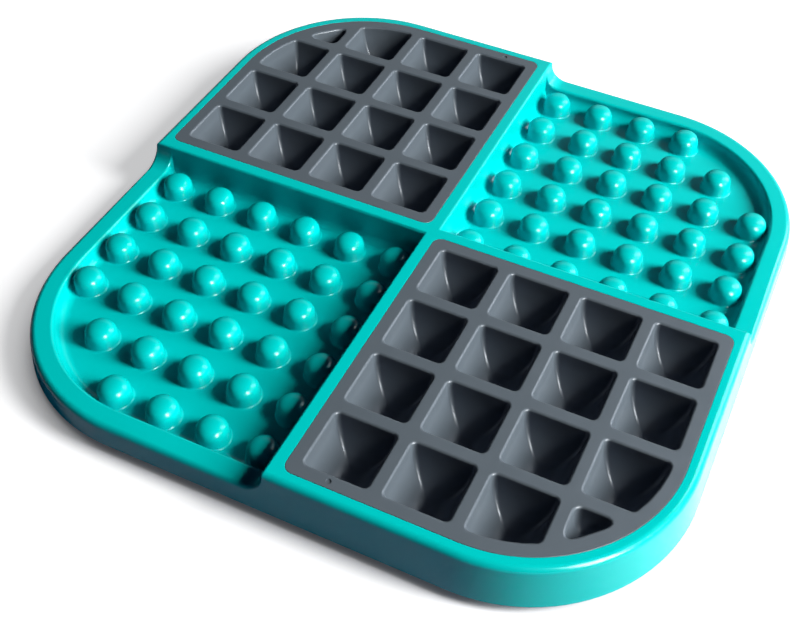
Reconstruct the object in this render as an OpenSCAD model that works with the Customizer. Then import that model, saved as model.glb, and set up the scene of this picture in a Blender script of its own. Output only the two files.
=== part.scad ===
// Square feeding plate in four quarters: two quarters of rounded nubs in the plate itself,
// two quarters of square pockets in separate drop-in grids, and four pads to stand on.
// Millimetres. The origin is on the ground under the middle of the plate, and +Z is up.
// +X and +Y run along the two cross walls. The plate is the same after half a turn about Z.

/* [Plate] */
// Width of the plate at the foot of its outer wall
plate_w = 250; // [215:1:320]
// Height of the pocket quarters and cross walls above the ground
plate_h = 22.2; // [20:0.1:34]
// Radius of the four outer corners at the foot of the wall
corner_r = 62.6; // [45:0.2:70]
// Lean of the outer wall from upright, in degrees
wall_draft = 7.8; // [0:0.1:12]
// Gap between the ground and the foot of the wall
ground_gap = 3.9; // [2:0.1:6]
// Width of the cross walls
cross_w = 4.8; // [3:0.1:8]
// Width of the outer rim round a pocket quarter
high_rim_w = 4.4; // [3:0.1:8]

/* [Nub quarters] */
// Drop from the top of the plate to the rim of a nub quarter
rim_drop = 9.05; // [5:0.05:12]
// Width of the rim round a nub quarter
low_rim_w = 7; // [4:0.1:12]
// Thickness of the floor under the nubs
floor_t = 3.6; // [2.4:0.1:5]
// Radius where a high rim comes down to a low rim
step_r = 6.5; // [2:0.1:8]
// Nubs along one side of a nub quarter
nub_count = 6; // [3:1:8]
// Width of a nub at its foot
nub_d = 13.1; // [8:0.1:16]
// Radius of the rounded top of a nub
nub_dome_r = 5.9; // [3:0.1:6.4]
// Height of a nub above the floor
nub_h = 7.7; // [6.5:0.1:12]
// Clear width between the outer nubs and the walls
nub_wall_gap = 1.85; // [1:0.05:6]

/* [Pocket grids] */
// Pockets along one side of a grid
pocket_count = 4; // [3:1:5]
// Width of the bars between pockets, at the top
bar_w = 5.2; // [3:0.1:9]
// Width of the border round the pockets, at the top
grid_border = 4.9; // [3:0.1:9]
// Depth of a pocket
pocket_depth = 16; // [8:0.1:16.4]
// How far each side of a pocket leans in from its mouth to its floor
pocket_lean = 5.1; // [1:0.1:6]
// Depth of the small pocket in the rounded corner
corner_pocket_depth = 11; // [5:0.1:13]
// Thickness of the walls and floors of the pockets
cup_t = 1.6; // [1.2:0.1:2]
// Thickness of the top of a grid
grid_top_t = 2.4; // [1.6:0.1:4]
// Thickness of the skirt round a grid
skirt_t = 1.8; // [1.2:0.1:3]
// Radius of the three small corners of a grid
grid_corner_r = 3.5; // [1:0.1:6]
// Clearance round a grid in its quarter
fit_gap = 0.15; // [0.1:0.05:0.5]
// Width of the ledge that the skirt stands on
ledge_w = 7.5; // [4:0.1:7.8]
// Thickness of the ledge
ledge_t = 2.5; // [1.5:0.1:3]

/* [Feet] */
// Diameter of a foot where it meets the plate
foot_d = 13; // [8:0.1:14]
// Diameter of a foot on the ground
foot_base_d = 12; // [8:0.1:14]
// Distance of each foot's middle from the two nearest sides of the plate
foot_inset = 28; // [22:0.5:32]
// Depth of the socket that a foot is bonded in
foot_socket = 1.2; // [0.5:0.1:1.8]

/* [Hidden] */
$fn = 64;
over = 1;
half_foot = plate_w / 2;
arc_c = half_foot - corner_r;
wall_slope = tan(wall_draft);
half_top = half_foot - wall_slope * (plate_h - ground_gap);
rim_z = plate_h - rim_drop;
half_rim = half_foot - wall_slope * (rim_z - ground_gap);
half_cross = cross_w / 2;
floor_z = ground_gap + floor_t;
tray_hi = half_rim - low_rim_w;
nub_first = half_cross + nub_wall_gap + nub_d / 2;
nub_pitch = (tray_hi - nub_wall_gap - nub_d / 2 - nub_first) / (nub_count - 1);
nub_reach = tray_hi - arc_c - nub_d / 2;
nub_flat_cut = 0.05;
seat_hi = half_top - high_rim_w;
ledge_z = ground_gap + ledge_t;
grid_lo = half_cross + fit_gap;
grid_hi = seat_hi - fit_gap;
pocket_lo = grid_lo + grid_border;
pocket_hi = grid_hi - grid_border;
pocket_w = (pocket_hi - pocket_lo - bar_w * (pocket_count - 1)) / pocket_count;
pocket_pitch = pocket_w + bar_w;
pocket_slope = pocket_lean / pocket_depth;
foot_pos = half_foot - foot_inset;
pad_lo = pocket_lo + pocket_pitch * (pocket_count - 1) - bar_w - 1.5;

tray();
grid_insert_back();
grid_insert_front();
foot_back();
foot_left();
foot_front();
foot_right();

// The plate moulding
module tray() {
    color([0.02, 0.66, 0.66])
    difference() {
        union() {
            difference() {
                wall_block();
                nub_quarter_hollow();
                rotate(180) nub_quarter_hollow();
            }
            nub_quarter_shapes();
            rotate(180) nub_quarter_shapes();
        }
        rotate(90) grid_seat();
        rotate(-90) grid_seat();
        for (sx = [-1, 1], sy = [-1, 1])
            translate([sx * foot_pos, sy * foot_pos, ground_gap - over])
                cylinder(h = foot_socket + over, d = foot_d);
    }
}

// The drop-in grid of the back quarter
module grid_insert_back() {
    color([0.17, 0.2, 0.23]) rotate(90) pocket_grid();
}

// The drop-in grid of the front quarter
module grid_insert_front() {
    color([0.17, 0.2, 0.23]) rotate(-90) pocket_grid();
}

module foot_back() {
    color([0.05, 0.05, 0.05]) translate([-foot_pos, foot_pos, 0]) foot();
}

module foot_left() {
    color([0.05, 0.05, 0.05]) translate([-foot_pos, -foot_pos, 0]) foot();
}

module foot_front() {
    color([0.05, 0.05, 0.05]) translate([foot_pos, -foot_pos, 0]) foot();
}

module foot_right() {
    color([0.05, 0.05, 0.05]) translate([foot_pos, foot_pos, 0]) foot();
}

// Outside of the plate: a square block with leaning sides and coned corners
module wall_block() {
    leaning_slab();
    rotate(90) leaning_slab();
    for (sx = [-1, 1], sy = [-1, 1])
        translate([sx * arc_c, sy * arc_c, ground_gap])
            cylinder(h = plate_h - ground_gap, r1 = corner_r, r2 = half_top - arc_c);
}

// The block's full width in X, between its corner centres in Y
module leaning_slab() {
    translate([0, arc_c, 0])
        rotate([90, 0, 0])
            linear_extrude(2 * arc_c)
                polygon([[-half_foot, ground_gap], [half_foot, ground_gap],
                         [half_top, plate_h], [-half_top, plate_h]]);
}

// A quarter in +X +Y, with its outer corner rounded about the shared corner centre
module quarter_outline(lo, hi, small_r) {
    difference() {
        union() {
            translate([lo, lo]) square([hi - lo, arc_c - lo]);
            translate([lo, lo]) square([arc_c - lo, hi - lo]);
            translate([arc_c, arc_c]) circle(hi - arc_c);
        }
        if (small_r > 0) {
            translate([lo, lo]) corner_nib(small_r);
            translate([hi, lo]) rotate(90) corner_nib(small_r);
            translate([lo, hi]) rotate(-90) corner_nib(small_r);
        }
    }
}

// What a rounded corner takes off a square one at the origin
module corner_nib(r) {
    difference() {
        translate([-over, -over]) square(r + over);
        translate([r, r]) circle(r);
    }
}

// What a nub quarter takes out of the block: the top of its rim and the tray inside it
module nub_quarter_hollow() {
    translate([half_cross, half_cross, rim_z]) cube([plate_w, plate_w, plate_h]);
    translate([0, 0, floor_z])
        linear_extrude(plate_h) quarter_outline(half_cross, tray_hi, 0);
}

// Nubs of one quarter, and the rounded steps up from its rim
module nub_quarter_shapes() {
    for (i = [0 : nub_count - 1], j = [0 : nub_count - 1])
        if (nub_fits(nub_first + i * nub_pitch, nub_first + j * nub_pitch))
            translate([nub_first + i * nub_pitch, nub_first + j * nub_pitch, floor_z]) nub();
    intersection() {
        wall_block();
        union() {
            step_fillet();
            mirror([1, -1, 0]) step_fillet();
        }
    }
}

// Whether a nub stands inside the rounded corner
function nub_fits(x, y) = norm([max(x - arc_c, 0), max(y - arc_c, 0)]) <= nub_reach;

// One nub on a floor at z = 0: a short cone under a dome with a very small flat on top
module nub() {
    dome_z = nub_h + nub_flat_cut - nub_dome_r;
    translate([0, 0, -0.5]) cylinder(h = 0.5, d = nub_d);
    cylinder(h = dome_z, d1 = nub_d, r2 = nub_dome_r);
    intersection() {
        translate([0, 0, dome_z]) sphere(nub_dome_r);
        translate([-nub_d, -nub_d, dome_z]) cube([2 * nub_d, 2 * nub_d, nub_h - dome_z]);
    }
}

// The rounded foot of the step on the +X side of a nub quarter
module step_fillet() {
    translate([tray_hi, half_cross, rim_z])
        difference() {
            translate([0, -half_cross / 2, -over]) cube([plate_w, step_r + half_cross / 2, step_r + over]);
            translate([-over, step_r, step_r])
                rotate([0, 90, 0]) cylinder(h = plate_w + 2 * over, r = step_r);
        }
}

// What a grid's seat takes out of a quarter in +X +Y: the recess and the opening inside the ledge
module grid_seat() {
    translate([0, 0, ledge_z])
        linear_extrude(plate_h) quarter_outline(half_cross, seat_hi, grid_corner_r);
    translate([0, 0, ground_gap - over])
        difference() {
            linear_extrude(ledge_t + 2 * over) quarter_outline(half_cross + ledge_w, seat_hi - ledge_w, 0);
            translate([pad_lo, pad_lo, -over]) cube([plate_w, plate_w, ledge_t + 4 * over]);
        }
}

// The pocket grid of a quarter in +X +Y
module pocket_grid() {
    difference() {
        union() {
            translate([0, 0, plate_h - grid_top_t])
                linear_extrude(grid_top_t) quarter_outline(grid_lo, grid_hi, grid_corner_r - fit_gap);
            difference() {
                translate([0, 0, ledge_z])
                    linear_extrude(plate_h - ledge_z) quarter_outline(grid_lo, grid_hi, grid_corner_r - fit_gap);
                translate([0, 0, ledge_z - over])
                    linear_extrude(plate_h) quarter_outline(grid_lo + skirt_t, grid_hi - skirt_t, 0);
            }
            pockets(cup_t, 0);
        }
        pockets(0, over);
    }
}

// All pockets of a grid, grown by the given wall, with their mouths raised by the given rise
module pockets(wall, rise) {
    for (i = [0 : pocket_count - 1], j = [0 : pocket_count - 1])
        intersection() {
            pocket(pocket_lo + pocket_w / 2 + i * pocket_pitch,
                   pocket_lo + pocket_w / 2 + j * pocket_pitch,
                   (i == pocket_count - 1 && j == pocket_count - 1 ? corner_pocket_depth : pocket_depth) + wall,
                   wall, rise);
            if (pocket_lo + pocket_w + i * pocket_pitch > arc_c && pocket_lo + pocket_w + j * pocket_pitch > arc_c)
                corner_trim(wall);
        }
}

// One tapered square pocket about a centre, as deep as given
module pocket(x, y, depth, wall, rise) {
    translate([x, y, plate_h])
        intersection() {
            pocket_slab(depth, wall, rise);
            rotate(90) pocket_slab(depth, wall, rise);
        }
}

// A pocket's shape in X, running on in Y
module pocket_slab(depth, wall, rise) {
    half_mouth = pocket_w / 2 + wall;
    translate([0, pocket_w, 0])
        rotate([90, 0, 0])
            linear_extrude(2 * pocket_w)
                polygon([[-half_mouth + pocket_slope * depth, -depth], [half_mouth - pocket_slope * depth, -depth],
                         [half_mouth + pocket_slope * rise, rise], [-half_mouth - pocket_slope * rise, rise]]);
}

// The rounded corner's side of the outer pockets, leaning like their other sides
module corner_trim(wall) {
    drop = pocket_depth + 2 * over;
    mouth_r = pocket_hi - arc_c + wall;
    translate([arc_c, arc_c, plate_h - drop])
        cylinder(h = drop + over, r1 = mouth_r - pocket_slope * drop, r2 = mouth_r + pocket_slope * over);
    translate([0, 0, plate_h - drop]) cube([arc_c, plate_w, drop + over]);
    translate([0, 0, plate_h - drop]) cube([plate_w, arc_c, drop + over]);
}

// One foot: a pad bonded in its socket, a little narrower on the ground
module foot() {
    cylinder(h = ground_gap, d1 = foot_base_d, d2 = foot_d);
    translate([0, 0, ground_gap - 0.5]) cylinder(h = foot_socket + 0.5, d = foot_d);
}
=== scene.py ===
"""Looks of a slow feeding plate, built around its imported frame.

A glossy turquoise moulding carries two quarters of rounded nubs. Two satin grey grids of
bowl-shaped pockets drop into its other two quarters, and four rubber pads stand under its corners.
Lengths in the classes are millimetres; meshes are in metres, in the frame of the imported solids.
"""

import logging
import math
from collections.abc import Callable, Iterator, Sequence
from contextlib import contextmanager
from dataclasses import dataclass, field
from enum import Enum

import bmesh
import bpy
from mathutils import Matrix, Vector

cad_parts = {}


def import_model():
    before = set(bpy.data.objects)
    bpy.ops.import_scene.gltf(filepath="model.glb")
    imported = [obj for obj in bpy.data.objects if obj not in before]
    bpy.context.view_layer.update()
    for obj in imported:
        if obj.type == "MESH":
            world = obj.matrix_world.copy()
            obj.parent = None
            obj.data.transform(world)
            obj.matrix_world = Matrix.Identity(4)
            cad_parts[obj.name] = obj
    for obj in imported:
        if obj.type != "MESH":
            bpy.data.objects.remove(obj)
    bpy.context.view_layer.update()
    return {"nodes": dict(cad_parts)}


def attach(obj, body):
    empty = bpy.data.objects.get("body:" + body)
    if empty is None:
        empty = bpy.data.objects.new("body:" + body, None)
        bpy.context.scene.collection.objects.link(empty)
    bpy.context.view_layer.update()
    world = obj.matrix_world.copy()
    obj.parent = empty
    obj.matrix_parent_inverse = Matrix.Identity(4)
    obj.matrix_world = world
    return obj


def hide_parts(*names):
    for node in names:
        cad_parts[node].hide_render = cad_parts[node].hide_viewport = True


LOG = logging.getLogger("slow_feeding_plate")
BODY = "root"
MM = 0.001
# How near counts as the same place, as on a wall, and as one doubled point
NEAR = 0.02
ON_WALL = 0.12
DOUBLED = 0.002
FLAT_DEGREES = 0.4
CORNER_DEGREES = 30.0
CORNER_STEPS = 5
# How far the cutting solids stand clear of what they cut, and where they end outside the plate
CLEAR = 2.0
FAR_SIDE = 150.0
WHITE = (1.0, 1.0, 1.0, 1.0)

Pair = tuple[float, float]
Colour = tuple[float, float, float]
Piece = bpy.types.Object
Socket = bpy.types.NodeSocket


class Join(Enum):
    """What a boolean does with its tool."""

    ADD = "UNION"
    TAKE = "DIFFERENCE"


class Pick(Enum):
    """What a selection picks, by its name in a mesh."""

    VERT = "verts"
    EDGE = "edges"
    FACE = "faces"


class GridPlace(Enum):
    """The two grid quarters, by their turn in degrees from the +X +Y quarter."""

    BACK = 90.0
    FRONT = -90.0


class FootPlace(Enum):
    """The four feet, by the signs of their X and Y."""

    BACK = (-1, 1)
    LEFT = (-1, -1)
    FRONT = (1, -1)
    RIGHT = (1, 1)

    def spot(self, away: float) -> Pair:
        """X and Y of the foot, at one distance along both axes."""
        return (self.value[0] * away, self.value[1] * away)


def scaled(*lengths: float) -> tuple[float, ...]:
    """Give lengths in metres."""
    return tuple(length * MM for length in lengths)


def convex_round(radius: float, steps: int, turn: float = 90.0) -> list[Pair]:
    """Rings that turn an upright wall over towards a flat top.

    Args:
        radius: Radius of the rounded edge.
        steps: Number of rings.
        turn: How far the wall turns, in degrees.

    Returns:
        Inward and upward moves, one pair per ring.
    """
    angles = [math.radians(turn * step / steps) for step in range(steps + 1)]
    return [
        (radius * (math.cos(a) - math.cos(b)), radius * (math.sin(b) - math.sin(a)))
        for a, b in zip(angles, angles[1:])
    ]


def choose(piece: Piece) -> None:
    """Select one piece alone and make it the active one."""
    bpy.ops.object.select_all(action="DESELECT")
    piece.select_set(True)
    bpy.context.view_layer.objects.active = piece


def named(piece: Piece, name: str) -> Piece:
    """Name a piece and its mesh."""
    piece.name = piece.data.name = name
    return piece


@contextmanager
def editing(piece: Piece) -> Iterator[None]:
    """Open one piece in edit mode with all of it selected, and leave edit mode afterwards.

    Args:
        piece: The mesh object to edit.
    """
    choose(piece)
    bpy.ops.object.mode_set(mode="EDIT")
    bpy.ops.mesh.select_all(action="SELECT")
    try:
        yield
    finally:
        bpy.ops.object.mode_set(mode="OBJECT")


def pick(piece: Piece, what: Pick, test: Callable[..., bool]) -> int:
    """Select the vertices, edges or faces of the piece in edit mode whose corners pass a test.

    Args:
        piece: The object in edit mode.
        what: What is selected.
        test: Takes the place of each corner in millimetres.

    Returns:
        How many were selected.
    """
    bpy.ops.mesh.select_mode(type=what.name)
    bpy.ops.mesh.select_all(action="DESELECT")
    mesh = bmesh.from_edit_mesh(piece.data)
    elements = getattr(mesh, what.value)
    chosen = [one for one in elements if test(*(v.co / MM for v in getattr(one, "verts", (one,))))]
    for one in chosen:
        one.select_set(True)
    mesh.select_flush_mode()
    bmesh.update_edit_mesh(piece.data)
    return len(chosen)


def pick_level_faces(piece: Piece, level: float) -> None:
    """Select the level faces at one height of the piece in edit mode."""
    pick(piece, Pick.FACE, lambda *corners: all(abs(p.z - level) < NEAR for p in corners))


def pick_all_faces() -> None:
    """Select every face of the piece in edit mode."""
    bpy.ops.mesh.select_mode(type="FACE")
    bpy.ops.mesh.select_all(action="SELECT")


def round_picked(radius: float, steps: int, affect: str = "EDGES") -> None:
    """Round the selected edges in edit mode, or the selected corners of a flat sheet."""
    bpy.ops.mesh.bevel(
        offset=radius * MM, segments=steps, profile=0.5, affect=affect, clamp_overlap=False
    )


def inset_rings(rings: Sequence[Pair]) -> None:
    """Inset the selected face in edit mode ring by ring, each an inward and an outward move."""
    for inward, outward in rings:
        bpy.ops.mesh.inset(thickness=inward * MM, depth=outward * MM, use_even_offset=True)


def close_openings() -> None:
    """Fill the open rim of the piece in edit mode and turn its faces outwards."""
    bpy.ops.mesh.select_mode(type="EDGE")
    bpy.ops.mesh.select_all(action="DESELECT")
    bpy.ops.mesh.select_non_manifold()
    bpy.ops.mesh.edge_face_add()
    bpy.ops.mesh.select_all(action="SELECT")
    bpy.ops.mesh.normals_make_consistent(inside=False)


def flat_sheet(low: Pair, high: Pair, level: float) -> Piece:
    """Add a flat rectangle.

    Args:
        low: Lowest X and Y.
        high: Highest X and Y.
        level: Height of the sheet.

    Returns:
        The new object, with its place in its mesh.
    """
    bpy.ops.mesh.primitive_plane_add(size=1.0, location=(0.0, 0.0, 0.0))
    sheet = bpy.context.object
    middle = scaled((low[0] + high[0]) / 2, (low[1] + high[1]) / 2, level)
    with editing(sheet):
        bpy.ops.transform.resize(value=(*scaled(high[0] - low[0], high[1] - low[1]), 1.0))
        bpy.ops.transform.translate(value=middle)
    return sheet


def flat_disc(spot: Pair, radius: float, level: float, sides: int) -> Piece:
    """Add a flat disc.

    Args:
        spot: X and Y of its middle.
        radius: Its radius.
        level: Its height.
        sides: Edges round it.

    Returns:
        The new object, with its place in its mesh.
    """
    bpy.ops.mesh.primitive_circle_add(
        vertices=sides, radius=radius * MM, fill_type="NGON", location=(0.0, 0.0, 0.0)
    )
    disc = bpy.context.object
    with editing(disc):
        bpy.ops.transform.translate(value=scaled(*spot, level))
    return disc


def round_corners(sheet: Piece, test: Callable[[Vector], bool], radius: float, steps: int) -> None:
    """Round the corners of a flat sheet that pass a test.

    Args:
        sheet: The flat sheet.
        test: Takes a corner's place in millimetres.
        radius: Radius of the corners.
        steps: Edges in each rounded corner.
    """
    with editing(sheet):
        if pick(sheet, Pick.VERT, test):
            round_picked(radius, steps, "VERTICES")


def raise_rings(sheet: Piece, rings: Sequence[Pair]) -> None:
    """Make a closed solid from a flat sheet by insetting and lifting its face ring by ring.

    Args:
        sheet: The flat sheet, which becomes the solid's foot.
        rings: Inward and upward moves, one pair per ring.
    """
    with editing(sheet):
        pick_all_faces()
        inset_rings(rings)
        close_openings()


def split_faces(piece: Piece, lines: Sequence[float], level: float | None = None) -> None:
    """Cut flat faces into a grid along X and Y lines, so that each holds one feature at most.

    Args:
        piece: The piece.
        lines: The lines' X, and again their Y, in millimetres.
        level: Height of the faces to cut, or None for the whole piece.
    """
    with editing(piece):
        for line in lines:
            for normal in ((1.0, 0.0, 0.0), (0.0, 1.0, 0.0)):
                if level is None:
                    bpy.ops.mesh.select_all(action="SELECT")
                else:
                    pick_level_faces(piece, level)
                bpy.ops.mesh.bisect(plane_co=scaled(line, line, 0.0), plane_no=normal)


def placed_copy(piece: Piece, x: float, y: float) -> Piece:
    """Copy a piece, with a mesh of its own, to a place beside the first.

    Args:
        piece: The piece to copy.
        x: How far along X the copy lies, in millimetres.
        y: How far along Y it lies.

    Returns:
        The copy, with its place in its mesh.
    """
    twin = piece.copy()
    twin.data = piece.data.copy()
    bpy.context.collection.objects.link(twin)
    twin.location = scaled(x, y, 0.0)
    choose(twin)
    bpy.ops.object.transform_apply(location=True, rotation=False, scale=False)
    return twin


def turned(piece: Piece, degrees: float) -> Piece:
    """Turn a piece's mesh about the vertical axis.

    Args:
        piece: The piece.
        degrees: The turn, anticlockwise from above.

    Returns:
        The same piece, unturned as an object.
    """
    choose(piece)
    piece.rotation_euler = (0.0, 0.0, math.radians(degrees))
    bpy.ops.object.transform_apply(location=False, rotation=True, scale=False)
    return piece


def merged(pieces: Sequence[Piece]) -> Piece:
    """Join separate shells into the first of them.

    Args:
        pieces: The shells.

    Returns:
        The joined object.
    """
    choose(pieces[0])
    for piece in pieces:
        piece.select_set(True)
    bpy.ops.object.join()
    return pieces[0]


def modify(piece: Piece, kind: str, **settings: object) -> None:
    """Add a modifier to a piece and apply it.

    Args:
        piece: The piece.
        kind: The modifier's kind.
        settings: Values for its settings.
    """
    choose(piece)
    modifier = piece.modifiers.new(kind, kind)
    for setting, value in settings.items():
        setattr(modifier, setting, value)
    bpy.ops.object.modifier_apply(modifier=modifier.name)


def combine(piece: Piece, tool: Piece, how: Join) -> None:
    """Add a closed solid to a piece, or take it away, and delete the solid.

    Args:
        piece: The piece to change.
        tool: The solid.
        how: Whether the solid is added or taken away.
    """
    modify(piece, "BOOLEAN", object=tool, operation=how.value, solver="EXACT")
    bpy.data.objects.remove(tool)


def round_edges(
    piece: Piece, radius: float, steps: int, weigh: Callable[[Vector, Vector], float]
) -> None:
    """Round the edges of a piece, each by its own share of a radius.

    Args:
        piece: The piece.
        radius: The largest radius.
        steps: Faces across a rounded edge.
        weigh: Takes an edge's two ends in millimetres and gives its share of the radius, 0 for none.
    """
    mesh = piece.data
    weights = mesh.attributes.new("bevel_weight_edge", "FLOAT", "EDGE")
    for edge in mesh.edges:
        start, end = (mesh.vertices[index].co / MM for index in edge.vertices)
        weights.data[edge.index].value = weigh(start, end)
    size = {"width": radius * MM, "segments": steps, "profile": 0.5, "use_clamp_overlap": False}
    modify(piece, "BEVEL", limit_method="WEIGHT", miter_outer="MITER_ARC", **size)
    left = piece.data.attributes.get("bevel_weight_edge")
    if left:
        piece.data.attributes.remove(left)


def merge_flat_faces(piece: Piece) -> None:
    """Merge faces that lie in one plane, and drop the points left along straight edges."""
    with editing(piece):
        bpy.ops.mesh.remove_doubles(threshold=DOUBLED * MM)
        bpy.ops.mesh.dissolve_limited(angle_limit=math.radians(FLAT_DEGREES))


def finish_surface(piece: Piece, sharp_above: float) -> None:
    """Merge doubled points, and shade the piece smooth up to a fold with flat faces kept flat.

    Args:
        piece: The piece.
        sharp_above: Folds sharper than this many degrees stay sharp.
    """
    with editing(piece):
        bpy.ops.mesh.remove_doubles(threshold=DOUBLED * MM)
        bpy.ops.mesh.dissolve_degenerate(threshold=DOUBLED * MM)
    bpy.ops.object.shade_smooth_by_angle(angle=math.radians(sharp_above))
    modify(piece, "WEIGHTED_NORMAL", keep_sharp=True, weight=100)


@dataclass(frozen=True)
class PlateSizes:
    """Sizes that the pieces share, from the plate's solids."""

    half_foot: float = 125.0
    arc_centre: float = 62.4
    wall_slope: float = math.tan(math.radians(7.8))
    foot_level: float = 3.9
    top_level: float = 22.2
    rim_level: float = 13.15
    floor_level: float = 7.5
    ledge_level: float = 6.4
    half_cross: float = 2.4
    high_rim: float = 4.4
    low_rim: float = 8.1
    pad_place: float = 97.0
    pad_radius: float = 6.5
    arc_steps: int = 26

    def half_at(self, level: float) -> float:
        """Half the plate's width at a height."""
        return self.half_foot - self.wall_slope * (level - self.foot_level)

    @property
    def tray_reach(self) -> float:
        """Distance from the middle to the inner wall of a nub quarter."""
        return self.half_at(self.rim_level) - self.low_rim

    @property
    def seat_reach(self) -> float:
        """Distance from the middle to the outer wall of a grid's seat."""
        return self.half_at(self.top_level) - self.high_rim

    def spread(self, place: Vector) -> float:
        """Half the width of the rounded square through a place."""
        across, along = abs(place.x), abs(place.y)
        if across > self.arc_centre and along > self.arc_centre:
            return self.arc_centre + math.hypot(across - self.arc_centre, along - self.arc_centre)
        return max(across, along)

    def on_outside(self, place: Vector) -> bool:
        """Whether a place lies on the leaning outer wall."""
        return abs(self.spread(place) - self.half_at(place.z)) < ON_WALL

    def beyond_arc(self, spot: Pair) -> float:
        """How far a spot lies from the shared centre of the round corner, beyond it on both axes."""
        return math.hypot(*(max(value - self.arc_centre, 0.0) for value in spot))

    def quarter_sheet(self, low: float, high: float, level: float, small: float = 0.0) -> Piece:
        """Add the flat outline of a quarter in +X +Y, its outer corner rounded about the shared centre.

        Args:
            low: Distance of the inner sides from the middle.
            high: Distance of the outer sides from the middle.
            level: Height of the sheet.
            small: Radius of the other three corners, 0 for sharp ones.

        Returns:
            The flat sheet.
        """
        sheet = flat_sheet((low, low), (high, high), level)
        middle = (low + high) / 2
        outer = high - self.arc_centre
        round_corners(sheet, lambda p: p.x > middle and p.y > middle, outer, self.arc_steps)
        if small:
            round_corners(sheet, lambda p: min(p.x, p.y) < low + NEAR, small, CORNER_STEPS)
        return sheet


@dataclass
class Nub:
    """One rounded nub, flared where it meets the floor."""

    foot_radius: float = 6.7
    flare: float = 0.8
    side_radius: float = 5.8
    side_height: float = 2.8
    squareness: float = 2.6
    height: float = 7.7
    tip_radius: float = 0.35
    skirt: float = 0.35
    sunk: float = 0.12
    sides: int = 32
    flare_steps: int = 5
    dome_steps: int = 10

    def rings(self) -> list[Pair]:
        """List the moves from just under the floor to the top of the dome.

        Returns:
            Inward and upward moves, one pair per ring.
        """
        profile = [(self.foot_radius + self.skirt, -self.sunk)]
        for step in range(1, self.flare_steps + 1):
            angle = math.radians(270 - 90 * step / self.flare_steps)
            across = self.foot_radius + self.flare * math.cos(angle)
            profile.append((across, self.flare * (1 + math.sin(angle))))
        rise = self.height - self.side_height
        for step in range(self.dome_steps):
            angle = math.pi / 2 * step / self.dome_steps
            across = math.cos(angle) ** (2 / self.squareness)
            up = math.sin(angle) ** (2 / self.squareness)
            profile.append((self.side_radius * across, self.side_height + rise * up))
        profile.append((self.tip_radius, self.height))
        return [(a[0] - b[0], b[1] - a[1]) for a, b in zip(profile, profile[1:])]

    def build(self, floor_level: float) -> Piece:
        """Model one nub about the vertical axis.

        Args:
            floor_level: Height of the floor it stands on.

        Returns:
            The nub, as a closed solid.
        """
        foot = self.foot_radius + self.skirt
        nub = flat_disc((0.0, 0.0), foot, floor_level - self.sunk, self.sides)
        raise_rings(nub, self.rings())
        return nub


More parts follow.
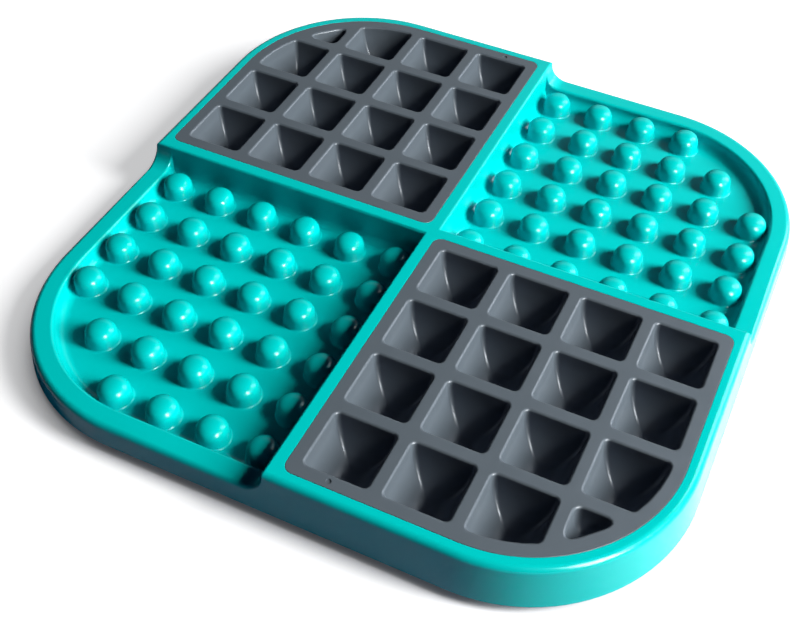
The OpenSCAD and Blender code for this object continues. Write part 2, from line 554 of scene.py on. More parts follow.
@dataclass
class Tray:
    """The turquoise moulding: outer wall, cross walls, nub quarters and seats for the grids."""

    sizes: PlateSizes
    node: str = "tray"
    slot: str = "plate"
    step_round: float = 6.5
    step_steps: int = 9
    floor_round: float = 4.2
    floor_steps: int = 7
    edge_round: float = 2.2
    edge_steps: int = 5
    cross_share: float = 0.45
    rim_share: float = 0.55
    foot_share: float = 0.25
    step_share: float = 0.3
    stand_share: float = 0.8
    least_stand: float = 0.15
    lip_round: float = 0.16
    lip_steps: int = 2
    seat_round: float = 3.5
    seat_height: float = 30.0
    ledge_width: float = 7.5
    pad_low: float = 83.9
    pad_height: float = 20.0
    space_top: float = 40.0
    nub_count: int = 6
    nub_first: float = 10.8
    nub_pitch: float = 19.507
    nub_reach: float = 47.8
    socket_depth: float = 1.2
    socket_sides: int = 40
    smooth_to: float = 38.0
    nub: Nub = field(default_factory=Nub)

    def build(self) -> Piece:
        """Model the moulding.

        Returns:
            The finished piece.
        """
        tray = self.outer_block()
        for turn in (0.0, 180.0):
            combine(tray, self.nub_quarter_space(turn), Join.TAKE)
        merge_flat_faces(tray)
        self.drop_seams(tray)
        round_edges(tray, self.edge_round, self.edge_steps, self.outer_edge_share)
        for place in GridPlace:
            combine(tray, self.seat_space(place), Join.TAKE)
            combine(tray, self.window_space(place), Join.TAKE)
        round_edges(tray, self.lip_round, self.lip_steps, self.lip_share)
        combine(tray, self.foot_sockets(), Join.TAKE)
        between = [self.nub_first + (step + 0.5) * self.nub_pitch for step in range(self.nub_count - 1)]
        split_faces(tray, [side * line for line in between for side in (1, -1)], self.sizes.floor_level)
        combine(tray, self.nub_field(), Join.ADD)
        finish_surface(tray, self.smooth_to)
        return named(tray, "tray_moulding")

    def outer_block(self) -> Piece:
        """Model the outside as one leaning block with round corners.

        Returns:
            A closed solid.
        """
        sizes = self.sizes
        half = sizes.half_foot
        block = flat_sheet((-half, -half), (half, half), sizes.foot_level)
        round_corners(block, lambda p: True, half - sizes.arc_centre, sizes.arc_steps)
        height = sizes.top_level - sizes.foot_level
        raise_rings(block, [(sizes.wall_slope * height, height)])
        return block

    def nub_quarter_space(self, turn: float) -> Piece:
        """Model what a nub quarter takes out of the block: above its rim, and down to its floor.

        Args:
            turn: The quarter's turn in degrees from +X +Y.

        Returns:
            A closed solid.
        """
        sizes = self.sizes
        near = sizes.half_cross
        space = flat_sheet((near, near), (FAR_SIDE, FAR_SIDE), sizes.rim_level)
        raise_rings(space, [(0.0, self.space_top - sizes.rim_level)])
        with editing(space):
            pick(space, Pick.EDGE, self.is_step_foot)
            round_picked(self.step_round, self.step_steps)
        well = sizes.quarter_sheet(near, sizes.tray_reach, sizes.floor_level)
        raise_rings(well, [(0.0, self.space_top - sizes.floor_level)])
        with editing(well):
            pick(well, Pick.EDGE, lambda a, b: max(a.z, b.z) < sizes.floor_level + NEAR)
            round_picked(self.floor_round, self.floor_steps)
        combine(space, well, Join.ADD)
        return turned(space, turn)

    def is_step_foot(self, start: Vector, end: Vector) -> bool:
        """Whether an edge of the rim's space runs along the foot of one of its two steps."""
        low = max(start.z, end.z) < self.sizes.rim_level + NEAR
        near = all(min(p.x, p.y) < self.sizes.half_cross + NEAR for p in (start, end))
        return low and near and (start - end).length > 1.0

    def drop_seams(self, tray: Piece) -> None:
        """Drop the flat seams that the wells leave on the cross walls above the steps."""
        with editing(tray):
            pick(tray, Pick.EDGE, lambda a, b: self.on_seam(a) and self.on_seam(b))
            bpy.ops.mesh.dissolve_edges(use_verts=True)

    def on_seam(self, place: Vector) -> bool:
        """Whether a place lies above a step, where a well's side meets the cross wall."""
        sizes, within = self.sizes, 0.05
        above = place.z > sizes.rim_level + self.step_round - NEAR
        on_cross = abs(min(abs(place.x), abs(place.y)) - sizes.half_cross) < within
        return above and on_cross and abs(sizes.spread(place) - sizes.tray_reach) < within

    def outer_edge_share(self, start: Vector, end: Vector) -> float:
        """Give an edge of the block its share of the rounding.

        Args:
            start: One end of the edge, in millimetres.
            end: The other end.

        Returns:
            A share from 0 to 1.
        """
        sizes = self.sizes
        middle = (start + end) / 2
        level = abs(start.z - end.z) < NEAR
        outside = sizes.on_outside(start) and sizes.on_outside(end)
        inside = all(abs(sizes.spread(p) - sizes.tray_reach) < ON_WALL for p in (start, end))
        on_cross = min(abs(abs(side) - sizes.half_cross) for side in (middle.x, middle.y)) < NEAR
        if level and abs(middle.z - sizes.top_level) < NEAR:
            return 1.0 if outside and not on_cross else self.cross_share
        if level and abs(middle.z - sizes.foot_level) < NEAR:
            return self.foot_share if outside else 0.0
        if level and abs(middle.z - sizes.rim_level) < NEAR:
            return 1.0 if outside else self.rim_share if inside else 0.0
        stand = min(abs(middle.x), abs(middle.y)) - sizes.half_cross
        if sizes.rim_level < middle.z < sizes.top_level and stand < self.step_round + NEAR:
            if outside:
                return self.step_share + (1.0 - self.step_share) * (stand / self.step_round) ** 2
            if inside and stand > self.least_stand:
                return min(self.rim_share, self.stand_share * stand / self.edge_round)
        return 0.0

    def seat_space(self, place: GridPlace) -> Piece:
        """Model the recess that a grid drops into."""
        sizes = self.sizes
        outline = (sizes.half_cross, sizes.seat_reach, sizes.ledge_level, self.seat_round)
        space = sizes.quarter_sheet(*outline)
        raise_rings(space, [(0.0, self.seat_height)])
        return turned(space, place.value)

    def window_space(self, place: GridPlace) -> Piece:
        """Model the opening inside the ledge, with the pad for a foot left in its corner.

        Args:
            place: The grid's quarter.

        Returns:
            A closed solid.
        """
        sizes = self.sizes
        low = sizes.half_cross + self.ledge_width
        high = sizes.seat_reach - self.ledge_width
        space = sizes.quarter_sheet(low, high, 0.0)
        raise_rings(space, [(0.0, sizes.ledge_level + CLEAR)])
        pad = flat_sheet((self.pad_low, self.pad_low), (FAR_SIDE, FAR_SIDE), -CLEAR)
        raise_rings(pad, [(0.0, self.pad_height)])
        combine(space, pad, Join.TAKE)
        return turned(space, place.value)

    def lip_share(self, start: Vector, end: Vector) -> float:
        """Round the top lip of the seats, and nothing else."""
        top = self.sizes.top_level
        return float(all(abs(p.z - top) < NEAR and self.on_seat(p) for p in (start, end)))

    def on_seat(self, place: Vector) -> bool:
        """Whether a place on the top lies on the outline of a grid's seat."""
        sizes = self.sizes
        inner = min(abs(place.x), abs(place.y)) < sizes.half_cross + self.seat_round + 0.1
        return place.x * place.y < 0 and (inner or abs(sizes.spread(place) - sizes.seat_reach) < ON_WALL)

    def foot_sockets(self) -> Piece:
        """Model the four shallow sockets that the feet sit in.

        Returns:
            Four closed solids in one object.
        """
        sizes, sockets = self.sizes, []
        for place in FootPlace:
            spot = place.spot(sizes.pad_place)
            socket = flat_disc(spot, sizes.pad_radius, sizes.foot_level - CLEAR, self.socket_sides)
            raise_rings(socket, [(0.0, CLEAR + self.socket_depth)])
            sockets.append(socket)
        return merged(sockets)

    def nub_field(self) -> Piece:
        """Copy the nub over both nub quarters, leaving out what the rounded corners cut off.

        Returns:
            All the nubs in one object.
        """
        first = self.nub.build(self.sizes.floor_level)
        places = [self.nub_first + step * self.nub_pitch for step in range(self.nub_count)]
        spots = [(x, y) for x in places for y in places if self.sizes.beyond_arc((x, y)) <= self.nub_reach]
        nubs = [placed_copy(first, side * x, side * y) for x, y in spots for side in (1, -1)]
        bpy.data.objects.remove(first)
        LOG.info("nubs: %d", len(nubs))
        return merged(nubs)


@dataclass(frozen=True)
class Pocket:
    """One pocket of a grid, by its mouth before the round corner trims it."""

    low: Pair
    high: Pair
    middle: Pair
    depth: float
    trimmed: bool
    tangents: tuple[float, ...]
    pull: float
    corner_round: float


@dataclass
class PocketGrid:
    """A grey grid of bowl-shaped pockets, which drops into one seat of the tray."""

    sizes: PlateSizes
    place: GridPlace
    slot: str = "grid"
    fit_gap: float = 0.07
    deck: float = 2.4
    skirt: float = 1.8
    corner_round: float = 3.35
    edge_round: float = 0.18
    edge_steps: int = 3
    border: float = 4.98
    bar: float = 5.2
    count: int = 4
    depth: float = 15.4
    tangents: tuple[float, ...] = tuple(3.5 + 7.0 * step for step in range(13))
    corner_depth: float = 8.6
    corner_middle: float = 4.7
    corner_tangents: tuple[float, ...] = (45.0,)
    corner_pull: float = 0.45
    wall_inset: float = 9.6
    wall_steps: int = 12
    cup_wall: float = 1.6
    cup_start: float = 1.0
    mouth_round: float = 1.9
    small_round: float = 2.6
    round_clear: float = 1.1
    lip_round: float = 1.1
    lip_spread: float = 0.95
    lip_turn: float = 72.0
    lip_steps: int = 4
    lip_above: float = 0.5
    gate_place: Pair = (115.6, 18.0)
    gate_radius: float = 0.95
    gate_depth: float = 0.35
    gate_sides: int = 24
    gate_rings: tuple[Pair, ...] = ((-0.12, 0.15), (-0.13, 0.2), (0.0, 0.5))
    smooth_to: float = 40.0

    @property
    def node(self) -> str:
        """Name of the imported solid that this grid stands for."""
        return f"grid_insert_{self.place.name.lower()}"

    @property
    def low(self) -> float:
        """Distance from the middle to the grid's inner sides."""
        return self.sizes.half_cross + self.fit_gap

    @property
    def high(self) -> float:
        """Distance from the middle to the grid's outer sides."""
        return self.sizes.seat_reach - self.fit_gap

    @property
    def pocket_reach(self) -> float:
        """Radius about the shared centre that trims the pockets of the round corner."""
        return self.high - self.border - self.sizes.arc_centre

    @property
    def mouth(self) -> float:
        """Width of a whole pocket's mouth."""
        return (self.high - self.low - 2 * self.border - (self.count - 1) * self.bar) / self.count

    def pockets(self) -> list[Pocket]:
        """List the pockets, row by row.

        Returns:
            The pockets, whole ones first.
        """
        first, pitch = self.low + self.border, self.mouth + self.bar
        last = self.count - 1
        places = [(row, column) for row in range(self.count) for column in range(self.count)]
        made = [self.pocket((first + x * pitch, first + y * pitch), x == y == last) for x, y in places]
        return sorted(made, key=lambda pocket: pocket.trimmed)

    def pocket(self, low: Pair, smallest: bool) -> Pocket:
        """Describe one pocket.

        Args:
            low: Lowest X and Y of its mouth.
            smallest: Whether it is the small one in the round corner.

        Returns:
            The pocket.
        """
        high = (low[0] + self.mouth, low[1] + self.mouth)
        half = self.corner_middle if smallest else self.mouth / 2
        return Pocket(
            low=low,
            high=high,
            middle=(low[0] + half, low[1] + half),
            depth=self.corner_depth if smallest else self.depth,
            trimmed=self.sizes.beyond_arc(high) > self.pocket_reach + 0.1,
            tangents=self.corner_tangents if smallest else self.tangents,
            pull=self.corner_pull if smallest else 0.0,
            corner_round=self.small_round if smallest else self.mouth_round,
        )

    def build(self) -> Piece:
        """Model the grid.

        Returns:
            The finished piece.
        """
        sizes = self.sizes
        grid = sizes.quarter_sheet(self.low, self.high, sizes.ledge_level, self.corner_round)
        upright = sizes.top_level - sizes.ledge_level - self.edge_round
        raise_rings(grid, [(0.0, upright), *convex_round(self.edge_round, self.edge_steps)])
        inner = (self.low + self.skirt, self.high - self.skirt, sizes.ledge_level - 1.0)
        hollow = sizes.quarter_sheet(*inner, self.corner_round - self.skirt)
        raise_rings(hollow, [(0.0, sizes.top_level - self.deck - inner[2])])
        combine(grid, hollow, Join.TAKE)
        between = self.low + self.border - self.bar / 2
        split_faces(grid, [between + step * (self.mouth + self.bar) for step in range(1, self.count)])
        combine(grid, self.repeated(self.cup_outside), Join.ADD)
        combine(grid, self.repeated(self.pocket_space), Join.TAKE)
        combine(grid, self.gate_dish(), Join.TAKE)
        finish_surface(grid, self.smooth_to)
        return named(turned(grid, self.place.value), f"pocket_grid_{self.place.name.lower()}")

    def repeated(self, model: Callable[[Pocket], Piece]) -> Piece:
        """Model a whole pocket once and copy it, and model each trimmed one.

        Args:
            model: Models a solid for one pocket.

        Returns:
            All the solids in one object.
        """
        pockets = self.pockets()
        solids = [model(pockets[0])]
        for pocket in pockets[1:]:
            if pocket.trimmed:
                solids.append(model(pocket))
            else:
                away = [pocket.low[axis] - pockets[0].low[axis] for axis in (0, 1)]
                solids.append(placed_copy(solids[0], *away))
        return merged(solids)

    def mouth_sheet(self, pocket: Pocket, grow: float, level: float) -> Piece:
        """Add the flat outline of a pocket's mouth.

        Args:
            pocket: The pocket.
            grow: How far the outline lies outside the mouth.
            level: Height of the sheet.

        Returns:
            The flat sheet, trimmed and with round corners.
        """
        low = (pocket.low[0] - grow, pocket.low[1] - grow)
        high = (pocket.high[0] + grow, pocket.high[1] + grow)
        sheet = flat_sheet(low, high, level)
        if pocket.trimmed:
            self.trim(sheet, pocket, self.pocket_reach + grow - pocket.pull)
        corners = self.corner_slides(sheet, pocket.corner_round + grow)
        reaches = [(corner, self.round_clear * slide) for corner, slide in corners]
        with editing(sheet):
            if pick(sheet, Pick.VERT, lambda p: any(NEAR < (p - c).length < r for c, r in reaches)):
                bpy.ops.mesh.dissolve_verts()
        for corner, slide in corners:
            round_corners(sheet, lambda p, c=corner: (p - c).length < NEAR, slide, CORNER_STEPS)
        return sheet

    def trim(self, sheet: Piece, pocket: Pocket, reach: float) -> None:
        """Cut a sheet along tangents of the arc that follows the plate's round corner.

        Args:
            sheet: The flat sheet.
            pocket: The pocket whose mouth it is.
            reach: Radius of the arc about the shared centre.
        """
        centre = self.sizes.arc_centre
        with editing(sheet):
            for degrees in pocket.tangents:
                across, along = math.cos(math.radians(degrees)), math.sin(math.radians(degrees))
                bpy.ops.mesh.select_all(action="SELECT")
                bpy.ops.mesh.bisect(
                    plane_co=scaled(centre + reach * across, centre + reach * along, 0.0),
                    plane_no=(across, along, 0.0),
                    clear_outer=True,
                )

    @staticmethod
    def corner_slides(sheet: Piece, radius: float) -> list[tuple[Vector, float]]:
        """Find a sheet's corners, and how far along its sides a rounding of each starts.

        Args:
            sheet: The flat sheet.
            radius: Radius of the rounding.

        Returns:
            Each corner's place in millimetres with its slide.
        """
        loop = [sheet.data.vertices[index].co / MM for index in sheet.data.polygons[0].vertices]
        found = []
        for before, corner, after in zip(loop[-1:] + loop[:-1], loop, loop[1:] + loop[:1]):
            turn = (corner - before).angle(after - corner)
            if turn > math.radians(CORNER_DEGREES):
                found.append((corner.copy(), radius * math.tan(turn / 2)))
        return found

    def wall_levels(self, start: float, deepest: float, grow: float) -> list[Pair]:
        """Depths and shares of the mouth's size down a pocket's wall and round its floor.

        Args:
            start: Depth where the wall starts.
            deepest: Depth of the floor.
            grow: How far the solid lies outside the pocket.

        Returns:
            Pairs of a depth and a share of the size at the start.
        """
        half = self.mouth / 2 + grow
        angles = [math.pi / 2 * step / self.wall_steps for step in range(1, self.wall_steps + 1)]
        levels = [(deepest * math.sin(angle), self.wall_inset * (1 - math.cos(angle))) for angle in angles]
        begin = half - self.wall_inset * (1 - math.sqrt(1 - (start / deepest) ** 2))
        return [(depth, (half - inset) / begin) for depth, inset in levels]

    def sink(self, pocket: Pocket, sheet: Piece, lip: Sequence[Pair], start: float, grow: float) -> Piece:
        """Push a pocket's flat outline down to its floor, narrowing it level by level.

        Args:
            pocket: The pocket.
            sheet: Its outline.
            lip: Rings that lead to the wall.
            start: Depth where the wall starts.
            grow: How far the solid lies outside the pocket.

        Returns:
            A closed solid.
        """
        with editing(sheet):
            pick_all_faces()
            inset_rings(lip)
            depth, share = start, 1.0
            for next_depth, next_share in self.wall_levels(start, pocket.depth + grow, grow):
                drop = {"value": scaled(0.0, 0.0, depth - next_depth)}
                bpy.ops.mesh.extrude_region_move(TRANSFORM_OT_translate=drop)
                change = next_share / share
                centre = scaled(*pocket.middle, self.sizes.top_level - next_depth)
                bpy.ops.transform.resize(value=(change, change, 1.0), center_override=centre)
                depth, share = next_depth, next_share
            close_openings()
        return sheet

    def pocket_space(self, pocket: Pocket) -> Piece:
        """Model the space of a pocket, flared at its lip and rounded at its floor.

        Args:
            pocket: The pocket.

        Returns:
            A closed solid.
        """
        sheet = self.mouth_sheet(pocket, self.lip_spread, self.sizes.top_level + self.lip_above)
        flare = convex_round(self.lip_round, self.lip_steps, self.lip_turn)
        lip = [(0.0, -self.lip_above), *((along, -down) for down, along in flare)]
        start = self.lip_round * (1 - math.cos(math.radians(self.lip_turn)))
        return self.sink(pocket, sheet, lip, start, 0.0)

    def cup_outside(self, pocket: Pocket) -> Piece:
        """Model the outside of the cup that forms a pocket, from within the deck downwards."""
        sheet = self.mouth_sheet(pocket, self.cup_wall, self.sizes.top_level - self.cup_start)
        return self.sink(pocket, sheet, (), self.cup_start, self.cup_wall)

    def gate_dish(self) -> Piece:
        """Model the small round dish that the moulding gate leaves in the border."""
        level = self.sizes.top_level - self.gate_depth
        dish = flat_disc(self.gate_place, self.gate_radius, level, self.gate_sides)
        raise_rings(dish, self.gate_rings)
        return dish


@dataclass
class Foot:
    """A round rubber pad under one corner."""

    sizes: PlateSizes
    place: FootPlace
    slot: str = "pad"
    base_radius: float = 6.0
    height: float = 5.1
    sides: int = 48
    edge_round: float = 0.6
    edge_steps: int = 3
    groove_rings: tuple[Pair, ...] = ((1.3, 0.0), (0.2, -0.5), (0.9, 0.0), (0.2, 0.5))
    smooth_to: float = 40.0

    @property
    def node(self) -> str:
        """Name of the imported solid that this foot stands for."""
        return f"foot_{self.place.name.lower()}"

    def build(self) -> Piece:
        """Model the pad, narrower at its base, with a groove in its sole.

        Returns:
            The finished piece.
        """
        spot, radius = self.place.spot(self.sizes.pad_place), self.sizes.pad_radius
        bpy.ops.mesh.primitive_cylinder_add(
            vertices=self.sides, radius=radius * MM, depth=self.height * MM, location=(0.0, 0.0, 0.0)
        )
        foot = named(bpy.context.object, f"rubber_foot_{self.place.name.lower()}")
        with editing(foot):
            bpy.ops.transform.translate(value=scaled(*spot, self.height / 2))
            pick(foot, Pick.VERT, lambda p: p.z < NEAR)
            narrow = self.base_radius / radius
            bpy.ops.transform.resize(value=(narrow, narrow, 1.0), center_override=scaled(*spot, 0.0))
            pick(foot, Pick.EDGE, lambda a, b: max(a.z, b.z) < NEAR)
            round_picked(self.edge_round, self.edge_steps)
            pick_level_faces(foot, 0.0)
            inset_rings(self.groove_rings)
        finish_surface(foot, self.smooth_to)
        return foot


@dataclass
class NodeBench:
    """Adds shader nodes to one tree and joins them."""

    tree: bpy.types.NodeTree

    def add(self, kind: str, **options: str) -> bpy.types.Node:
        """Add a shader node and set its options.

        Args:
            kind: The node's kind.
            options: Values for its options.

        Returns:
            The new node.
        """
        node = self.tree.nodes.new(f"ShaderNode{kind}")
        for option, value in options.items():
            setattr(node, option, value)
        return node

    def feed(self, node: bpy.types.Node, inputs: dict[str | int, Socket | float | tuple]) -> None:
        """Link sockets to a node's inputs, or set plain values on them.

        Args:
            node: The node.
            inputs: A socket or a value for each input.
        """
        for name, value in inputs.items():
            if isinstance(value, Socket):
                self.tree.links.new(value, node.inputs[name])
            else:
                node.inputs[name].default_value = value

    def sum_up(self, how: str, first: Socket, second: Socket | float) -> Socket:
        """Combine two levels with one math operation."""
        node = self.add("Math", operation=how)
        self.feed(node, {0: first, 1: second})
        return node.outputs["Value"]

    def fade(self, value: Socket, reach: Pair, result: Pair, shape: str = "SMOOTHSTEP") -> Socket:
        """Turn a value from one level to another.

        Args:
            value: The value to read.
            reach: Where the change starts and ends.
            result: The levels before and after it.
            shape: How the change runs.

        Returns:
            The faded level.
        """
        node = self.add("MapRange", interpolation_type=shape)
        names = ("From Min", "From Max", "To Min", "To Max")
        self.feed(node, {"Value": value, **dict(zip(names, (*reach, *result)))})
        return node.outputs["Result"]

    def mix(self, share: Socket, first: Colour, second: Colour) -> Socket:
        """Mix two colours by a share of the second."""
        node = self.add("Mix", data_type="RGBA")
        self.feed(node, {"Factor": share, "A": (*first, 1.0), "B": (*second, 1.0)})
        return node.outputs["Result"]

    def noise(self, place: Socket, size: float, layers: float) -> Socket:
        """Add a noise pattern.

        Args:
            place: Where the pattern is read.
            size: Size of its patches in millimetres.
            layers: How many finer layers it has.

        Returns:
            The pattern's value.
        """
        node = self.add("TexNoise")
        self.feed(node, {"Vector": place, "Scale": 1.0 / (size * MM), "Detail": layers})
        return node.outputs["Factor"] if "Factor" in node.outputs else node.outputs["Fac"]

    def parts(self, place: Socket) -> bpy.types.NodeOutputs:
        """Separate a place or a direction into X, Y and Z."""
        node = self.add("SeparateXYZ")
        self.feed(node, {"Vector": place})
        return node.outputs

    def seen_rays(self) -> Socket:
        """Give 1 for rays that show the surroundings, directly or in a gloss, and 0 for rays that light."""
        path = self.add("LightPath").outputs
        direct = self.sum_up("MAXIMUM", path["Is Camera Ray"], path["Is Glossy Ray"])
        return self.sum_up("MAXIMUM", direct, path["Is Transmission Ray"])


@dataclass(frozen=True)
class Finish:
    """A moulded surface: its colour, the patches that it drifts in, its gloss and its grain."""

    name: str
    colour: Colour
    drift_colour: Colour
    drift_size: float
    smoothest: float
    roughest: float
    mark_size: float
    grain_size: float
    grain_height: float
    specular: float = 0.5
    drift_layers: float = 3.0
    mark_layers: float = 5.0
    mark_range: Pair = (0.3, 0.7)
    grain_layers: float = 2.0
    grain_strength: float = 0.5

    def material(self) -> bpy.types.Material:
        """Make the finish's node material.

        Returns:
            A procedural material on Object coordinates.
        """
        material = bpy.data.materials.new(self.name)
        material.use_nodes = True
        bench = NodeBench(material.node_tree)
        place = bench.add("TexCoord").outputs["Object"]
        drift = bench.noise(place, self.drift_size, self.drift_layers)
        marks = bench.noise(place, self.mark_size, self.mark_layers)
        grain = bench.noise(place, self.grain_size, self.grain_layers)
        gloss = (self.smoothest, self.roughest)
        bump = bench.add("Bump")
        height = self.grain_height * MM
        bench.feed(bump, {"Strength": self.grain_strength, "Distance": height, "Height": grain})
        surface = {
            "Base Color": bench.mix(drift, self.colour, self.drift_colour),
            "Roughness": bench.fade(marks, self.mark_range, gloss, "LINEAR"),
            "Normal": bump.outputs["Normal"],
            "Specular IOR Level": self.specular,
        }
        bench.feed(bench.tree.nodes["Principled BSDF"], surface)
        return material

    def dress(self, piece: Piece) -> None:
        """Put the finish on a piece."""
        piece.data.materials.clear()
        piece.data.materials.append(bpy.data.materials.get(self.name) or self.material())


TURQUOISE_GLOSS = Finish(
    "turquoise_gloss", colour=(0.0, 0.445, 0.505), drift_colour=(0.0, 0.428, 0.49), drift_size=45.0,
    smoothest=0.14, roughest=0.22, mark_size=9.0, grain_size=1.1, grain_height=0.004, specular=0.16,
)
GREY_SATIN = Finish(
    "grey_satin", colour=(0.08, 0.097, 0.136), drift_colour=(0.071, 0.088, 0.125), drift_size=30.0,
    smoothest=0.33, roughest=0.42, mark_size=5.0, grain_size=0.35, grain_height=0.012, specular=0.27,
)
BLACK_RUBBER = Finish(
    "black_rubber", colour=(0.03, 0.03, 0.032), drift_colour=(0.022, 0.022, 0.024), drift_size=12.0,
    smoothest=0.7, roughest=0.85, mark_size=3.0, grain_size=0.4, grain_height=0.03,
)


@dataclass(frozen=True)
class Lamp:
    """A soft rectangular lamp aimed at the plate, its sizes in metres."""

    name: str
    azimuth: float
    elevation: float
    distance: float
    width: float
    height: float
    power: float
    colour: Colour
    lights: bool = True
    glints: bool = True
    aim: tuple[float, float, float] = (0.0, 0.0, 0.01)

    def build(self) -> None:
        """Add the lamp, its direction measured round the plate from the front towards the right."""
        turn, rise = math.radians(self.azimuth), math.radians(self.elevation)
        flat = math.cos(rise)
        away = Vector((math.sin(turn) * flat, -math.cos(turn) * flat, math.sin(rise)))
        bpy.ops.object.light_add(type="AREA", location=Vector(self.aim) + away * self.distance)
        lamp = bpy.context.object
        lamp.name = self.name
        lamp.rotation_euler = (-away).to_track_quat("-Z", "Y").to_euler()
        lamp.data.shape = "RECTANGLE"
        lamp.data.size = self.width
        lamp.data.size_y = self.height
        lamp.data.energy = self.power
        lamp.data.color = self.colour
        lamp.visible_diffuse = self.lights
        lamp.visible_glossy = self.glints


KEY_LAMP = Lamp(
    "key_lamp", azimuth=97.0, elevation=30.0, distance=1.6, width=0.5, height=0.95, power=73.0,
    colour=(1.0, 1.0, 0.82), glints=False,
)
WINDOW_LAMP = Lamp(
    "window_lamp", azimuth=62.0, elevation=30.0, distance=1.0, width=0.34, height=0.6, power=44.0,
    colour=(0.96, 0.99, 1.0), lights=False,
)
LIP_LAMP = Lamp(
    "lip_lamp", azimuth=137.0, elevation=32.0, distance=1.0, width=0.4, height=0.8, power=12.0,
    colour=(0.95, 0.98, 1.0), lights=False,
)


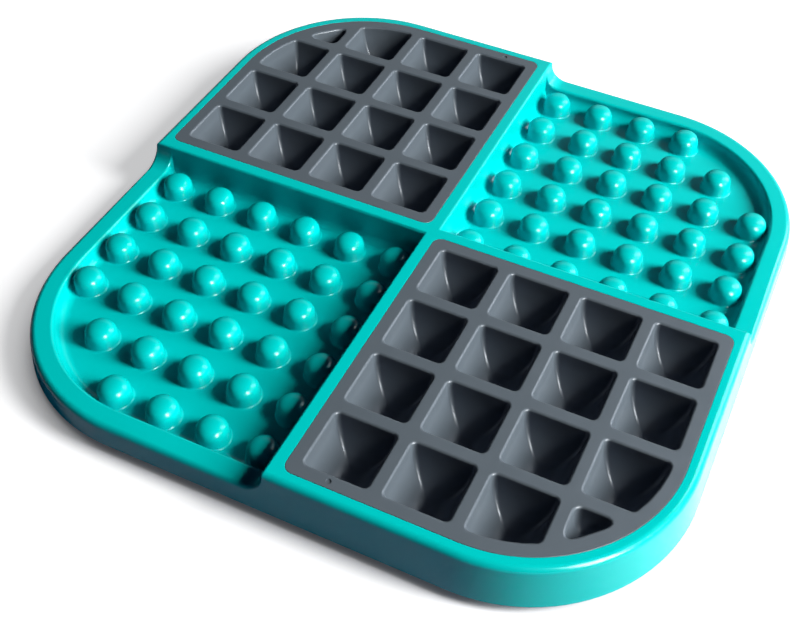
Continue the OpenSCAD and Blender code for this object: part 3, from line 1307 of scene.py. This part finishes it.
@dataclass
class Studio:
    """The plain pale room round the plate: floor, lamps, surroundings and camera.

    The floor's sizes and reaches are in metres.
    """

    lamps: tuple[Lamp, ...] = (KEY_LAMP, WINDOW_LAMP, LIP_LAMP)
    lens: float = 49.856
    sensor: float = 36.0
    nearest: float = 0.01
    shift: Pair = (-0.0625, 0.00313)
    camera_place: tuple[float, float, float] = (122.743, -277.475, 312.775)
    camera_turn: tuple[float, float, float] = (41.8918, -1.7144, 24.2762)
    floor_width: float = 8.0
    floor_roughness: float = 0.9
    floor_shown: Colour = (0.62, 0.62, 0.76)
    floor_returned: Colour = (0.1, 0.16, 0.28)
    # Painted shade on the floor: its white glow dims where the plate crowds it, by ambient occlusion, for
    # the camera only
    painted_shade_reach: float = 0.014
    painted_shade_range: Pair = (0.4, 1.0)
    painted_shade_lift: Pair = (0.05, 0.56)
    floor_far: Pair = (0.3, 0.8)
    # Painted reflection: a glow on the floor to the right, seen only in gloss, brightens the plate's right
    # wall
    floor_far_lift: Pair = (0.0, 1.0)
    painted_glow_reach: Pair = (0.1, 0.16)
    painted_glow_levels: Pair = (0.0, 1.6)
    fill_colour: Colour = (0.35, 0.75, 1.6)
    fill: float = 0.01
    backdrop: float = 1.5
    backdrop_turn: float = 150.0
    backdrop_side: Pair = (0.1, 0.8)
    backdrop_top: Pair = (0.4, 0.75)
    backdrop_foot: Pair = (0.2, 0.5)
    backdrop_foot_share: float = 0.15
    overhead: float = 0.02

    def build(self) -> None:
        """Add the room."""
        self.build_floor()
        for lamp in self.lamps:
            lamp.build()
        self.build_surroundings()
        self.build_camera()
        bpy.context.scene.view_settings.view_transform = "Standard"

    def build_floor(self) -> None:
        """Add the floor, a little brighter to the eye than its lamps make it, so that it reads as white."""
        bpy.ops.mesh.primitive_plane_add(size=self.floor_width, location=(0.0, 0.0, 0.0))
        floor = bpy.context.object
        floor.name = "studio_floor"
        material = bpy.data.materials.new("pale_floor")
        material.use_nodes = True
        bench = NodeBench(material.node_tree)
        place = bench.add("TexCoord").outputs["Object"]
        path = bench.add("LightPath").outputs
        contact = bench.add("AmbientOcclusion")
        bench.feed(contact, {"Distance": self.painted_shade_reach})
        away = bench.add("VectorMath", operation="LENGTH")
        bench.feed(away, {0: place})
        # Painted contact shade: the glow that whitens the floor fades where ambient occlusion finds the
        # plate close by
        near = bench.fade(contact.outputs["AO"], self.painted_shade_range, self.painted_shade_lift)
        far = bench.fade(away.outputs["Value"], self.floor_far, self.floor_far_lift)
        lift = bench.sum_up("MULTIPLY", bench.sum_up("ADD", near, far), path["Is Camera Ray"])
        # Painted glow on the floor's right side, seen only in gloss, that lights up reflections in the
        # plate's right wall
        painted_glow = bench.fade(bench.parts(place)["X"], self.painted_glow_reach, self.painted_glow_levels)
        painted_glow = bench.sum_up("MULTIPLY", painted_glow, path["Is Glossy Ray"])
        surface = {
            "Base Color": bench.mix(bench.seen_rays(), self.floor_returned, self.floor_shown),
            "Roughness": self.floor_roughness,
            "Specular IOR Level": 0.0,
            "Emission Color": WHITE,
            "Emission Strength": bench.sum_up("ADD", lift, painted_glow),
        }
        bench.feed(bench.tree.nodes["Principled BSDF"], surface)
        floor.data.materials.append(material)

    def build_surroundings(self) -> None:
        """Light the room softly, white to the eye, and in gloss a bright side under a dark ceiling."""
        world = bpy.data.worlds.new("surroundings")
        bpy.context.scene.world = world
        world.use_nodes = True
        bench = NodeBench(world.node_tree)
        bench.tree.nodes.clear()
        path = bench.add("LightPath").outputs
        parts = bench.parts(bench.add("TexCoord").outputs["Generated"])
        turn = math.radians(self.backdrop_turn)
        across = bench.sum_up("MULTIPLY", parts["X"], math.sin(turn))
        along = bench.sum_up("MULTIPLY", parts["Y"], -math.cos(turn))
        behind = bench.fade(bench.sum_up("ADD", across, along), self.backdrop_side, (0.0, self.backdrop))
        below = bench.fade(parts["Z"], self.backdrop_top, (1.0, 0.0))
        above = bench.fade(parts["Z"], self.backdrop_foot, (self.backdrop_foot_share, 1.0))
        shown = bench.sum_up("MULTIPLY", bench.sum_up("MULTIPLY", below, above), behind)
        for level in (path["Is Camera Ray"], path["Is Transmission Ray"], self.overhead):
            shown = bench.sum_up("MAXIMUM", shown, level)
        seen = bench.add("Background")
        bench.feed(seen, {"Color": WHITE, "Strength": shown})
        light = bench.add("Background")
        bench.feed(light, {"Color": (*self.fill_colour, 1.0), "Strength": self.fill})
        both = bench.add("MixShader")
        shaders = {1: light.outputs["Background"], 2: seen.outputs["Background"]}
        bench.feed(both, {0: bench.seen_rays(), **shaders})
        bench.feed(bench.add("OutputWorld"), {"Surface": both.outputs["Shader"]})

    def build_camera(self) -> None:
        """Add the camera at the photograph's viewpoint."""
        bpy.ops.object.camera_add(
            location=scaled(*self.camera_place), rotation=[math.radians(turn) for turn in self.camera_turn]
        )
        camera = bpy.context.object
        camera.name = "camera"
        camera.data.sensor_width = self.sensor
        camera.data.lens = self.lens
        camera.data.shift_x, camera.data.shift_y = self.shift
        camera.data.clip_start = self.nearest
        bpy.context.scene.camera = camera


def main() -> None:
    """Build the room, the pieces and their finishes round the frame."""
    logging.basicConfig(level=logging.INFO)
    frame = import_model()
    LOG.info("frame: %s", ", ".join(sorted(frame["nodes"])))
    Studio().build()
    sizes = PlateSizes()
    finishes = {"plate": TURQUOISE_GLOSS, "grid": GREY_SATIN, "pad": BLACK_RUBBER}
    parts: list[Tray | PocketGrid | Foot] = [Tray(sizes)]
    parts += [PocketGrid(sizes, place) for place in GridPlace]
    parts += [Foot(sizes, place) for place in FootPlace]
    for part in parts:
        piece = part.build()
        finishes[part.slot].dress(piece)
        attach(piece, BODY)
        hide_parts(part.node)
        LOG.info("%s: %d faces", piece.name, len(piece.data.polygons))


if __name__ == "__main__":
    main()
